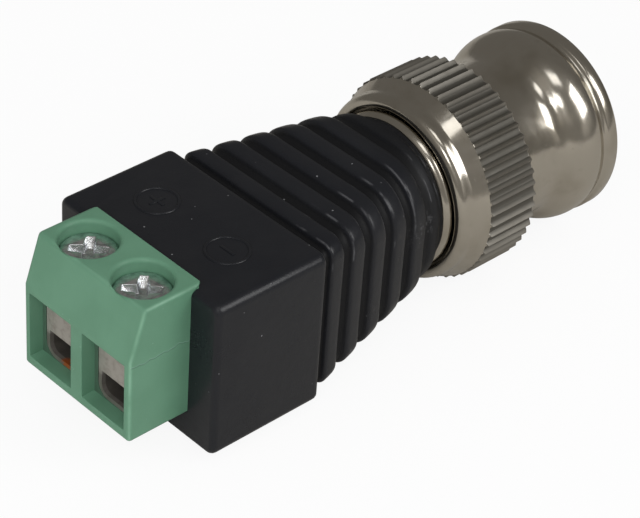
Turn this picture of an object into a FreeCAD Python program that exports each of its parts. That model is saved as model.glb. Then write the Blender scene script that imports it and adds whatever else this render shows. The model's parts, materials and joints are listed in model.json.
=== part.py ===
import FreeCAD, Part
import math
import os

from FreeCAD import Vector

# BNC plug with a two-pole screw terminal.
# Millimetres. X runs along the plug's axis towards the mating end, Z is up.
# The origin is on the axis, where the straight walls of the pin and the outer contact end.

# Fits
running_gap = 0.10
slip_gap = 0.05
cage_gap = 0.10
thread_gap = 0.08
screw_head_gap = 0.07
cutter_overrun = 1.0

# Centre pin
pin_radius = 0.675
pin_exposed = 5.3
pin_tip_length = 0.45
pin_tip_radius = 0.28
pin_shank_radius = 1.0

# Outer contact
outer_contact_radius = 4.05
outer_contact_length = 5.95
outer_contact_bore = 3.3
outer_contact_chamfer = 0.25
contact_slot_count = 4
contact_slot_width = 0.4
contact_slot_length = 5.0
contact_foot_wall = 0.55
contact_foot_length = 1.6

# Coupling nut, lengths from the front rim to the rear
nut_overhang = 1.0
rim_length = 1.0
rim_groove_length = 0.3
flare_length = 3.6
neck_length = 3.65
knurl_length = 4.37
cone_length = 1.48
rear_chamfer = 0.4

# Coupling nut, steps in radius from its bore outwards
neck_wall = 0.78
rim_rise = 1.22
rim_groove_depth = 0.27
flare_foot_length = 1.0
flare_foot_rise = 0.49
flare_foot_bulge = 0.10
flare_bulge = 0.24
knurl_rise = 1.6
knurl_depth = 0.30
knurl_count = 54
cone_step = 0.37
cone_taper = 0.43
mouth_gap = 0.15
collar_length = 1.3
skirt_depth = 1.3

# Bayonet slots inside the nut
bayonet_slot_width = 2.2
bayonet_slot_depth = 0.73
bayonet_seat_depth = 2.0
bayonet_seat_radius = 1.2
bayonet_turn = 80.0
bayonet_slot_count = 2

# Plug body
barrel_radius = 4.35
bead_height = 1.20
bead_length = 1.9
bead_chamfer = 0.35
tail_step = 0.35
tail_length = 2.4

# Gasket, washers and ring
gasket_thickness = 0.9
washer_thickness = 0.45
washer_width = 0.32
wave_height = 1.0
wave_thickness = 0.25
wave_count = 3
wave_steps = 10
ring_thickness = 0.55
ring_groove_depth = 0.4
ring_mouth = 1.2

# Black body
box_side_margin = 0.25
box_top = 4.95
box_bottom = -6.5
box_edge_round = 0.65
box_front_chamfer = 0.35
corner_flats = 4
box_length = 8.68
groove_count = 6
groove_pitch = 2.07
groove_depth = 0.33
groove_flank = 0.6
neck_cover = 1.8
first_groove_side_step = 0.72
first_groove_top_step = 0.60
first_groove_bottom_step = 0.52
first_groove_round = 0.5
last_groove_side_step = 0.17
last_groove_top_drop = 0.32
last_groove_bottom_drop = 0.26
last_groove_round = 3.5
cover_end_step = 0.15
last_rib_rise = 0.10
last_rib_extra_round = 0.5

# Terminal housing
pole_pitch = 5.08
pole_count = 2
housing_reach = 4.64
housing_bottom_step = 2.13
housing_front_top = 1.78
housing_slope_run = 1.10
housing_lip_reach = 1.04
housing_lip_height = 0.73
housing_tenon_cover = 0.46
housing_tenon_length = 2.88
window_width = 4.03
window_sill = 0.75
window_top = 1.31
window_depth = 1.05
chamber_corner = 1.05
chamber_length = 3.87

# Clamp screws
screw_setback = 3.02
well_radius = 1.89
well_lip = 0.28
well_backing = 0.3
well_backing_height = 0.5
ledge_thickness = 0.35
screw_head_height = 0.95
screw_shank_radius = 1.25
screw_end_gap = 0.30
recess_width = 0.55
recess_length = 2.3
recess_depth = 0.55

# Clamp cages and fixed contacts
cage_wall = 0.30
cage_travel = 1.6
cage_cover = 0.14
cage_top_plate = 0.80
cage_front_wall_reach = 0.15
tongue_gap = 0.17
tongue_thickness = 0.5
tongue_end_gap = 0.15
tongue_side_gap = 0.30
contact_tail_half_width = 0.5
contact_tail_reach = 2.0

# Leads inside the black body
lead_sides = 8
lead_radius = 0.4
sleeve_radius = 0.7
sleeve_end = 1.2
lead_end_straight = 2.0
lead_joint_length = 1.8

# Radii that follow from the sizes
washer_inner_radius = barrel_radius + running_gap
washer_outer_radius = washer_inner_radius + washer_width
collar_radius = barrel_radius + running_gap
nut_bore_radius = washer_outer_radius + running_gap
neck_radius = nut_bore_radius + neck_wall
rim_radius = neck_radius + rim_rise
rim_groove_radius = rim_radius - rim_groove_depth
knurl_radius = neck_radius + knurl_rise
cone_front_radius = knurl_radius - cone_step
cone_rear_radius = cone_front_radius - cone_taper
bayonet_slot_radius = nut_bore_radius + bayonet_slot_depth
bead_radius = barrel_radius + bead_height
tail_radius = barrel_radius - tail_step
contact_foot_radius = barrel_radius - contact_foot_wall
nut_mouth_radius = bead_radius + mouth_gap
cover_end_radius = bead_radius - cover_end_step

# Places along X that follow from the sizes
nut_front = nut_overhang
rim_rear = nut_front - rim_length
rim_groove_rear = rim_rear - rim_groove_length
flare_rear = rim_groove_rear - flare_length
knurl_front = flare_rear - neck_length
knurl_rear = knurl_front - knurl_length
cone_rear = knurl_rear - cone_length
nut_rear = cone_rear - rear_chamfer
collar_rear = nut_rear + skirt_depth
collar_front = collar_rear + collar_length
bead_front = collar_rear - slip_gap
bead_rear = bead_front - bead_length
washer_rear = collar_front + slip_gap
washer_front = washer_rear + washer_thickness
wave_rear = washer_front + slip_gap
wave_front = wave_rear + wave_height
ring_rear = wave_front + slip_gap
ring_front = ring_rear + ring_thickness
insulator_front = -pin_exposed
contact_shoulder = -outer_contact_length
gasket_front = contact_shoulder - slip_gap
body_front = gasket_front - gasket_thickness
contact_foot_rear = body_front - contact_foot_length
tail_rear = bead_rear - tail_length
body_end = bead_rear
last_groove = body_end - neck_cover
first_groove = last_groove - groove_pitch * (groove_count - 1)
box_rear = first_groove - groove_flank
box_front = box_rear - box_length

# Sides of the black body at the box, the first groove and the last groove
box_half_width = knurl_radius + box_side_margin
first_groove_half_width = box_half_width - first_groove_side_step
first_groove_top = box_top - first_groove_top_step
first_groove_bottom = box_bottom + first_groove_bottom_step
last_groove_half_width = cover_end_radius + last_groove_side_step
last_groove_top = cover_end_radius - last_groove_top_drop
last_groove_bottom = -cover_end_radius + last_groove_bottom_drop

# Places in the terminal
housing_front = box_front - housing_reach
housing_half_width = pole_pitch * pole_count / 2
housing_rear = box_front + housing_tenon_length
housing_tenon_top = box_top - housing_tenon_cover
housing_top = housing_tenon_top + housing_lip_height
housing_bottom = box_bottom + housing_bottom_step
pole_places = [pole_pitch * (i - (pole_count - 1) / 2) for i in range(pole_count)]
window_bottom = housing_bottom + window_sill
chamber_front = housing_front + window_depth
chamber_rear = chamber_front + chamber_length
screw_x = housing_front + screw_setback
cage_top = window_top + cage_cover
chamber_roof = cage_top + cage_travel + slip_gap
ledge_top = chamber_roof + ledge_thickness
screw_head_bottom = ledge_top + slip_gap
screw_head_top = screw_head_bottom + screw_head_height
screw_head_radius = well_radius - screw_head_gap
screw_hole_radius = screw_shank_radius + thread_gap
cage_front = chamber_front
cage_rear = chamber_rear - cage_gap
cage_inner_half_width = screw_hole_radius
cage_half_width = cage_inner_half_width + cage_wall
chamber_half_width = cage_half_width + cage_gap
cage_corner = chamber_corner - cage_gap
tongue_half_width = cage_inner_half_width - tongue_side_gap
cage_bottom = window_bottom + slip_gap
tongue_bottom = cage_bottom + cage_wall + cage_travel + tongue_gap
tongue_top = tongue_bottom + tongue_thickness
tongue_middle = tongue_bottom + tongue_thickness / 2
tongue_front = cage_front + cage_wall + tongue_end_gap
contact_tail_rear = housing_rear + contact_tail_reach
cage_front_edge = tongue_bottom - cage_front_wall_reach
screw_end = tongue_top + screw_end_gap

x_axis = Vector(1, 0, 0)
z_axis = Vector(0, 0, 1)
origin = Vector(0, 0, 0)


def turned(outline):
    """Solid turned about X from the corners (x, radius) of its half section."""
    corners = [Vector(x, 0, r) for x, r in outline]
    face = Part.Face(Part.makePolygon(corners + corners[:1]))
    return face.revolve(origin, x_axis, 360)


def bowed(a, b, bulge, steps):
    """Flats of a shallow bow from (x, radius) a up to b; a positive bulge bows it away from the axis."""
    run = b[0] - a[0]
    rise = b[1] - a[1]
    chord = math.hypot(run, rise)
    points = []
    for i in range(steps):
        share = i / steps
        height = 4 * bulge * share * (1 - share)
        points.append((a[0] + share * run - rise / chord * height, a[1] + share * rise + run / chord * height))
    return points


def block(x0, x1, y0, y1, z0, z1):
    """Rectangular block between two corners."""
    return Part.makeBox(x1 - x0, y1 - y0, z1 - z0, Vector(x0, y0, z0))


def upright(radius, x, y, z0, z1):
    """Upright cylinder between two heights."""
    return Part.makeCylinder(radius, z1 - z0, Vector(x, y, z0), z_axis)


def along_x(radius, x0, x1):
    """Cylinder on the plug's axis."""
    return Part.makeCylinder(radius, x1 - x0, Vector(x0, 0, 0), x_axis)


def rounded_section(x, half_width, bottom, top, corner):
    """Closed wire across the axis: a rectangle with each round corner in a few flats."""
    y = half_width - corner
    centres = [(y, top - corner), (-y, top - corner), (-y, bottom + corner), (y, bottom + corner)]
    points = []
    for quarter, (centre_y, centre_z) in enumerate(centres):
        for i in range(corner_flats + 1):
            angle = math.pi / 2 * (quarter + i / corner_flats)
            rim = Vector(0, math.cos(angle), math.sin(angle)) * corner
            points.append(Vector(x, centre_y, centre_z) + rim)
    return Part.makePolygon(points + points[:1])


def scoop_section(x, y, half_width, bottom, top, corner):
    """Closed wire across the axis: square above, with two round corners below."""
    reach = corner * (1 - math.sqrt(0.5))
    left = y - half_width
    right = y + half_width
    edges = [
        Part.makeLine(Vector(x, left, top), Vector(x, left, bottom + corner)),
        Part.Arc(
            Vector(x, left, bottom + corner),
            Vector(x, left + reach, bottom + reach),
            Vector(x, left + corner, bottom),
        ).toShape(),
        Part.makeLine(Vector(x, left + corner, bottom), Vector(x, right - corner, bottom)),
        Part.Arc(
            Vector(x, right - corner, bottom),
            Vector(x, right - reach, bottom + reach),
            Vector(x, right, bottom + corner),
        ).toShape(),
        Part.makeLine(Vector(x, right, bottom + corner), Vector(x, right, top)),
        Part.makeLine(Vector(x, right, top), Vector(x, left, top)),
    ]
    return Part.Wire(edges)


def scoop(x0, x1, y, half_width, bottom, top, corner):
    """Prism along X with a square top and a round-cornered floor."""
    face = Part.Face(scoop_section(x0, y, half_width, bottom, top, corner))
    return face.extrude(Vector(x1 - x0, 0, 0))


def lead(points, radius):
    """Bar with flat sides along a few straight runs, the first of them along X."""
    start = points[0]
    corners = []
    for i in range(lead_sides + 1):
        angle = 2 * math.pi * (i + 0.5) / lead_sides
        corners.append(start + Vector(0, radius * math.cos(angle), radius * math.sin(angle)))
    path = Part.makePolygon(points)
    return path.makePipeShell([Part.makePolygon(corners)], True, False, 1)


# Centre pin: tapered nose, contact length, and a thicker shank that is soldered to its lead
def make_centre_pin():
    return turned([
        (tail_rear, 0),
        (tail_rear, pin_shank_radius),
        (insulator_front, pin_shank_radius),
        (insulator_front, pin_radius),
        (0, pin_radius),
        (pin_tip_length, pin_tip_radius),
        (pin_tip_length, 0),
    ])


# Insulators: one in the outer contact and one in the plug body
def make_insulator(rear, front):
    return turned([
        (rear, pin_shank_radius),
        (rear, outer_contact_bore),
        (front, outer_contact_bore),
        (front, pin_shank_radius),
    ])


# Outer contact: a sleeve slotted into springy fingers, with a foot that seats in the plug body
def make_outer_contact():
    nose = outer_contact_chamfer
    sleeve = turned([
        (contact_foot_rear, outer_contact_bore),
        (contact_foot_rear, contact_foot_radius),
        (contact_shoulder, contact_foot_radius),
        (contact_shoulder, outer_contact_radius),
        (0, outer_contact_radius),
        (nose, outer_contact_radius - nose),
        (nose, outer_contact_bore),
    ])
    half = contact_slot_width / 2
    slots = []
    for i in range(contact_slot_count):
        slot = block(
            nose - contact_slot_length, nose + cutter_overrun, -half, half,
            0, outer_contact_radius + cutter_overrun,
        )
        slot.rotate(origin, x_axis, 360 / contact_slot_count * (i + 0.5))
        slots.append(slot)
    return sleeve.cut(Part.makeCompound(slots))


# Plug body: barrel with a ring groove, rear bead and a tail held in the black body
def make_plug_body():
    groove_radius = barrel_radius - ring_groove_depth
    return turned([
        (tail_rear, outer_contact_bore),
        (tail_rear, tail_radius),
        (bead_rear, tail_radius),
        (bead_rear, bead_radius - bead_chamfer),
        (bead_rear + bead_chamfer, bead_radius),
        (bead_front, bead_radius),
        (bead_front, barrel_radius),
        (ring_rear, barrel_radius),
        (ring_rear, groove_radius),
        (ring_front + slip_gap, groove_radius),
        (ring_front + slip_gap, barrel_radius),
        (body_front, barrel_radius),
        (body_front, contact_foot_radius),
        (contact_foot_rear, contact_foot_radius),
        (contact_foot_rear, outer_contact_bore),
    ])


def make_front_gasket():
    return turned([
        (body_front, contact_foot_radius),
        (body_front, nut_bore_radius - running_gap),
        (gasket_front, nut_bore_radius - running_gap),
        (gasket_front, contact_foot_radius),
    ])


# Retaining ring: an open spring ring that snaps into the barrel's groove
def make_retaining_ring():
    ring = turned([
        (ring_rear, barrel_radius - ring_groove_depth),
        (ring_rear, washer_outer_radius),
        (ring_front, washer_outer_radius),
        (ring_front, barrel_radius - ring_groove_depth),
    ])
    mouth = block(
        ring_rear - cutter_overrun, ring_front + cutter_overrun,
        -ring_mouth / 2, ring_mouth / 2, 0, washer_outer_radius + cutter_overrun,
    )
    return ring.cut(mouth)


def make_thrust_washer():
    return turned([
        (washer_rear, washer_inner_radius),
        (washer_rear, washer_outer_radius),
        (washer_front, washer_outer_radius),
        (washer_front, washer_inner_radius),
    ])


# Wave washer: a flat spring ring bent into even waves, built from radial sections
def make_wave_washer():
    swing = (wave_height - wave_thickness) / 2
    middle = (wave_rear + wave_front) / 2
    steps = wave_count * wave_steps
    sections = []
    for i in range(steps):
        angle = 2 * math.pi * i / steps
        x = middle + swing * math.cos(wave_count * angle)
        outward = Vector(0, math.cos(angle), math.sin(angle))
        sections.append([
            outward * washer_inner_radius + x_axis * (x - wave_thickness / 2),
            outward * washer_outer_radius + x_axis * (x - wave_thickness / 2),
            outward * washer_outer_radius + x_axis * (x + wave_thickness / 2),
            outward * washer_inner_radius + x_axis * (x + wave_thickness / 2),
        ])
    faces = []
    for i in range(steps):
        here = sections[i]
        there = sections[(i + 1) % steps]
        for j in range(4):
            k = (j + 1) % 4
            faces.append(Part.makeRuledSurface(
                Part.makeLine(here[j], here[k]), Part.makeLine(there[j], there[k])))
    shell = Part.makeShell(faces)
    shell.sewShape()
    return Part.makeSolid(shell)


# Coupling nut: turned blank, straight knurl around it, bayonet slots cut in from the bore
def make_nut_blank():
    foot = (flare_rear + flare_foot_length, neck_radius + flare_foot_rise)
    outline = [
        (nut_front, nut_bore_radius),
        (collar_front, nut_bore_radius),
        (collar_front, collar_radius),
        (collar_rear, collar_radius),
        (collar_rear, nut_mouth_radius),
        (nut_rear, nut_mouth_radius),
        (nut_rear, cone_rear_radius - rear_chamfer),
        (cone_rear, cone_rear_radius),
        (knurl_rear, cone_front_radius),
        (knurl_rear, neck_radius),
    ]
    outline += bowed((flare_rear, neck_radius), foot, -flare_foot_bulge, 2)
    outline += bowed(foot, (rim_groove_rear, rim_radius), flare_bulge, 3)
    outline += [
        (rim_groove_rear, rim_radius),
        (rim_groove_rear, rim_groove_radius),
        (rim_rear, rim_groove_radius),
        (rim_rear, rim_radius),
        (nut_front, rim_radius),
    ]
    return turned(outline)


def make_knurl():
    """Ring of straight pointed teeth."""
    corners = []
    for i in range(2 * knurl_count):
        angle = math.pi * i / knurl_count
        radius = knurl_radius - knurl_depth * (i % 2)
        corners.append(Vector(knurl_rear, radius * math.cos(angle), radius * math.sin(angle)))
    face = Part.Face(Part.makePolygon(corners + corners[:1]))
    teeth = face.extrude(Vector(knurl_front - knurl_rear, 0, 0))
    return teeth.cut(along_x(neck_radius, knurl_rear, knurl_front))


def make_bayonet_cutter():
    half = bayonet_slot_width / 2
    inside = nut_bore_radius - bayonet_slot_width / 2
    lead = bayonet_seat_depth * 360 / bayonet_turn
    helix = Part.makeHelix(lead, bayonet_seat_depth, nut_bore_radius)
    corners = [
        Vector(inside, 0, -half),
        Vector(bayonet_slot_radius, 0, -half),
        Vector(bayonet_slot_radius, 0, half),
        Vector(inside, 0, half),
    ]
    section = Part.makePolygon(corners + corners[:1])
    ramp = Part.Wire(helix.Edges).makePipeShell([section], True, True)
    ramp.rotate(origin, Vector(0, 1, 0), 90)
    ramp.translate(Vector(-bayonet_seat_depth, 0, 0))
    seat_centre = Vector(-bayonet_seat_depth, 0, -inside)
    seat = Part.makeCylinder(bayonet_seat_radius, bayonet_slot_radius - inside, seat_centre, Vector(0, 0, -1))
    mouth = block(-half, nut_front + cutter_overrun, -half, half, -bayonet_slot_radius, -inside)
    mouth.rotate(origin, x_axis, bayonet_turn)
    return [ramp, seat, mouth]


def make_coupling_nut():
    nut = make_nut_blank().fuse(make_knurl())
    for i in range(bayonet_slot_count):
        for cutter in make_bayonet_cutter():
            cutter.rotate(origin, x_axis, 360 / bayonet_slot_count * i)
            nut = nut.cut(cutter)
    return nut.removeSplitter()


# Clamp parts, one set for each pole
def make_contact(y):
    wall_face = chamber_rear
    tongue = block(
        tongue_front, wall_face,
        y - tongue_half_width, y + tongue_half_width, tongue_bottom, tongue_top,
    )
    tail = block(
        wall_face, contact_tail_rear,
        y - contact_tail_half_width, y + contact_tail_half_width, tongue_bottom, tongue_top,
    )
    return tongue.fuse(tail).removeSplitter()


def make_clamp_cage(y):
    shell = scoop(cage_front, cage_rear, y, cage_half_width, cage_bottom, cage_top, cage_corner)
    inner_half = cage_inner_half_width
    inner_floor = cage_bottom + cage_wall
    inner_corner = cage_corner - cage_wall
    hollow = scoop(
        cage_front + cage_wall, cage_rear + cage_wall, y,
        inner_half, inner_floor, cage_top - cage_top_plate, inner_corner,
    )
    wire_window = scoop(
        cage_front - cutter_overrun, cage_front + 2 * cage_wall, y,
        inner_half, inner_floor, cage_front_edge, inner_corner,
    )
    thread = upright(
        screw_hole_radius, screw_x, y, cage_top - 2 * cage_top_plate, cage_top + cutter_overrun)
    return shell.cut(hollow).cut(wire_window).cut(thread)


def make_clamp_screw(y):
    head = upright(screw_head_radius, screw_x, y, screw_head_bottom, screw_head_top)
    shank = upright(screw_shank_radius, screw_x, y, screw_end, screw_head_bottom)
    half_width = recess_width / 2
    half_length = recess_length / 2
    floor = screw_head_top - recess_depth
    roof = screw_head_top + recess_depth
    arm = block(
        screw_x - half_length, screw_x + half_length, y - half_width, y + half_width, floor, roof,
    )
    cross_arm = block(
        screw_x - half_width, screw_x + half_width, y - half_length, y + half_length, floor, roof,
    )
    return head.fuse(shank).cut(arm.fuse(cross_arm))


# Terminal housing: side outline with a backing behind the wells, then windows, chambers, wells and slots
def make_housing_blank():
    outline = [
        (housing_front, housing_bottom),
        (housing_front, housing_front_top),
        (housing_front + housing_slope_run, housing_top),
        (box_front + housing_lip_reach, housing_top),
        (box_front, housing_tenon_top),
        (housing_rear, housing_tenon_top),
        (housing_rear, housing_bottom),
    ]
    corners = [Vector(x, -housing_half_width, z) for x, z in outline]
    face = Part.Face(Part.makePolygon(corners + corners[:1]))
    backing_half_width = housing_half_width - well_backing
    backing = block(
        box_front, screw_x + well_radius + well_backing, -backing_half_width, backing_half_width,
        housing_tenon_top, housing_tenon_top + well_backing_height,
    )
    return face.extrude(Vector(0, 2 * housing_half_width, 0)).fuse(backing).removeSplitter()


def make_terminal_housing(contacts):
    housing = make_housing_blank()
    for y in pole_places:
        window = block(
            housing_front - cutter_overrun, chamber_front,
            y - window_width / 2, y + window_width / 2, window_bottom, window_top,
        )
        chamber = scoop(
            chamber_front, chamber_rear, y, chamber_half_width, window_bottom, chamber_roof, chamber_corner,
        )
        hole = upright(
            screw_hole_radius, screw_x, y, chamber_roof - cutter_overrun, ledge_top + cutter_overrun)
        well = upright(well_radius, screw_x, y, ledge_top, housing_top + cutter_overrun)
        lip = Part.makeCone(
            well_radius, well_radius + 2 * well_lip, 2 * well_lip, Vector(screw_x, y, housing_top - well_lip),
        )
        housing = housing.cut(window).cut(chamber).cut(hole).cut(well).cut(lip)
    for contact in contacts:
        housing = housing.cut(contact)
    return housing


# Black body: a box, then a ribbed run that goes from square to round
def groove_section(x, proud):
    """Section of the ribbed run at x, raised above the groove floor by `proud`."""
    share = (x - first_groove) / (last_groove - first_groove)
    share = min(max(share, 0.0), 1.0)
    half_width = first_groove_half_width + share * (last_groove_half_width - first_groove_half_width)
    top = first_groove_top + share * (last_groove_top - first_groove_top)
    bottom = first_groove_bottom + share * (last_groove_bottom - first_groove_bottom)
    corner = first_groove_round + share * (last_groove_round - first_groove_round)
    return rounded_section(x, half_width + proud, bottom - proud, top + proud, corner + proud)


def last_rib_section(x):
    """Section of the last rib, lower and rounder than the ribs before it."""
    return rounded_section(
        x, last_groove_half_width + last_rib_rise, last_groove_bottom - last_rib_rise,
        last_groove_top + last_rib_rise, last_groove_round + last_rib_extra_round,
    )


def make_body_blank():
    """Loft through the box, the groove floors and the rib crests, with a turned collar at its end."""
    chamfer = box_front_chamfer
    sections = [
        rounded_section(
            box_front, box_half_width - chamfer, box_bottom + chamfer, box_top - chamfer,
            box_edge_round - chamfer,
        ),
        rounded_section(box_front + chamfer, box_half_width, box_bottom, box_top, box_edge_round),
        rounded_section(box_rear, box_half_width, box_bottom, box_top, box_edge_round),
    ]
    for i in range(groove_count):
        groove = first_groove + groove_pitch * i
        sections.append(groove_section(groove, 0))
        if i < groove_count - 1:
            sections.append(groove_section(groove + groove_flank, groove_depth))
            sections.append(groove_section(groove + groove_pitch - groove_flank, groove_depth))
    last_rib_end = (last_groove + body_end) / 2
    sections.append(last_rib_section(last_groove + groove_flank))
    sections.append(last_rib_section(last_rib_end))
    collar = along_x(cover_end_radius, last_groove + groove_flank, body_end)
    return Part.makeLoft(sections, True, True).fuse(collar)


def make_overmould_body(embedded):
    core = embedded[0].multiFuse(embedded[1:])
    return make_body_blank().cut(core).removeSplitter()


# Leads from the terminal's tails to the plug
def make_leads():
    straight = x_axis * lead_end_straight
    signal_start = Vector(contact_tail_rear, pole_places[-1], tongue_middle)
    signal_end = Vector(tail_rear, 0, 0)
    signal_points = [signal_start, signal_start + straight, signal_end - straight, signal_end]
    signal = lead(signal_points, lead_radius)
    keep = block(
        contact_tail_rear + sleeve_end, tail_rear - sleeve_end,
        -box_half_width, box_half_width, box_bottom, box_top,
    )
    sleeve = lead(signal_points, sleeve_radius).common(keep).cut(signal)
    ground_start = Vector(contact_tail_rear, pole_places[0], tongue_middle)
    ground_joint = Vector(tail_rear, -tail_radius - lead_radius, 0)
    ground_points = [
        ground_start,
        ground_start + straight,
        ground_joint - straight,
        ground_joint + x_axis * lead_joint_length,
    ]
    ground = lead(ground_points, lead_radius)
    return signal, sleeve, ground


pieces = {}
contacts = []
for side_name, pole_y in zip(("right", "left"), pole_places):
    contact = make_contact(pole_y)
    contacts.append(contact)
    pieces[side_name + "_contact"] = contact
    pieces[side_name + "_clamp_cage"] = make_clamp_cage(pole_y)
    pieces[side_name + "_clamp_screw"] = make_clamp_screw(pole_y)

pieces["terminal_housing"] = make_terminal_housing(contacts)
pieces["centre_pin"] = make_centre_pin()
pieces["front_insulator"] = make_insulator(contact_foot_rear, insulator_front)
pieces["rear_insulator"] = make_insulator(tail_rear, contact_foot_rear)
pieces["outer_contact"] = make_outer_contact()
pieces["plug_body"] = make_plug_body()
pieces["front_gasket"] = make_front_gasket()
pieces["retaining_ring"] = make_retaining_ring()
pieces["wave_washer"] = make_wave_washer()
pieces["thrust_washer"] = make_thrust_washer()
pieces["coupling_nut"] = make_coupling_nut()

signal_wire, signal_sleeve, ground_wire = make_leads()
pieces["signal_wire"] = signal_wire
pieces["signal_sleeve"] = signal_sleeve
pieces["ground_wire"] = ground_wire

embedded = contacts + [
    make_housing_blank(),
    pieces["plug_body"],
    pieces["rear_insulator"],
    pieces["centre_pin"],
    signal_wire,
    signal_sleeve,
    ground_wire,
]
pieces["overmould_body"] = make_overmould_body(embedded)

os.makedirs("parts", exist_ok=True)
for name, shape in pieces.items():
    shape.exportStep("parts/" + name + ".step")
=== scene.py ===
"""Looks of the BNC screw terminal adapter: fine forms, finishes, light and camera."""

import json
import logging
import math
from dataclasses import dataclass, field
from enum import Enum
from typing import Any, Callable, Iterable, Sequence

import bmesh
import bpy
from mathutils import Matrix, Vector

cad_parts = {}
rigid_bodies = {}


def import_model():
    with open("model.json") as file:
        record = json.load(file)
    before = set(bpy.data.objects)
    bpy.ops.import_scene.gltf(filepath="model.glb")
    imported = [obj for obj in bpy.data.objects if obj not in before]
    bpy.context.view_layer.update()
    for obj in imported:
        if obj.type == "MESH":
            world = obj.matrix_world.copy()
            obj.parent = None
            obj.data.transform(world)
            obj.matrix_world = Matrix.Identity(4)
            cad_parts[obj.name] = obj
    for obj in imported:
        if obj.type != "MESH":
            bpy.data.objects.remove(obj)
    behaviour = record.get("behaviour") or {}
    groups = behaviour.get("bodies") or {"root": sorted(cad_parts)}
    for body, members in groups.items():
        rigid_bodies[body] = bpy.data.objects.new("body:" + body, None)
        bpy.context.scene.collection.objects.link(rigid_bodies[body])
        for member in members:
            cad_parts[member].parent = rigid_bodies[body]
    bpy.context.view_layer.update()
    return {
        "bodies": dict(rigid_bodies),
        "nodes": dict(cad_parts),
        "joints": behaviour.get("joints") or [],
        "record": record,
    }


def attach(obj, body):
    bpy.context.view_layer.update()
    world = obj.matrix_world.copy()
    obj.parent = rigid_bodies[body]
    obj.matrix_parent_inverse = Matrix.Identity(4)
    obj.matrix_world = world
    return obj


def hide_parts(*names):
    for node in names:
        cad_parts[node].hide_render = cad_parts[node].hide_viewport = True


MM = 0.001
log = logging.getLogger("adapter")

Point = tuple[float, float]
Place = tuple[float, float, float]
Colour = tuple[float, float, float]
Section = tuple[float, float, float, float]

# Sizes in mm that more than one sub-assembly or finish uses

HOUSING_FRONT = -40.52
HOUSING_REAR = -33.00
HOUSING_HALF = 5.08
HOUSING_TOP = 5.22
HOUSING_BOTTOM = -4.37
TENON_TOP = 4.49
SLOPE_FOOT = 1.78
SLOPE_HEAD = -39.42
CHAMBER_FRONT = -39.47
SCREW_X = -37.50
BOX_FRONT = -35.88
BACKING = -35.31
FIRST_GROOVE = -26.60
GROOVE_PITCH = 2.07
TAIL_REAR = -16.85
TAIL_RADIUS = 4.0
BODY_END = -14.45
KNURL_FRONT = -7.55
KNURL_REAR = -11.70

# How far a cutter stands past the face that it opens, and how near points are merged, in mm

OVERRUN = 1.0
WELD = 0.0004


class Pole(Enum):
    """The two poles of the terminal, with the place of each across the adapter in mm."""

    LEFT = 2.54
    RIGHT = -2.54

    @property
    def side(self) -> str:
        """Name of the pole's side, as its nodes have it."""
        return self.name.lower()


# Modelling moves

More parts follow.
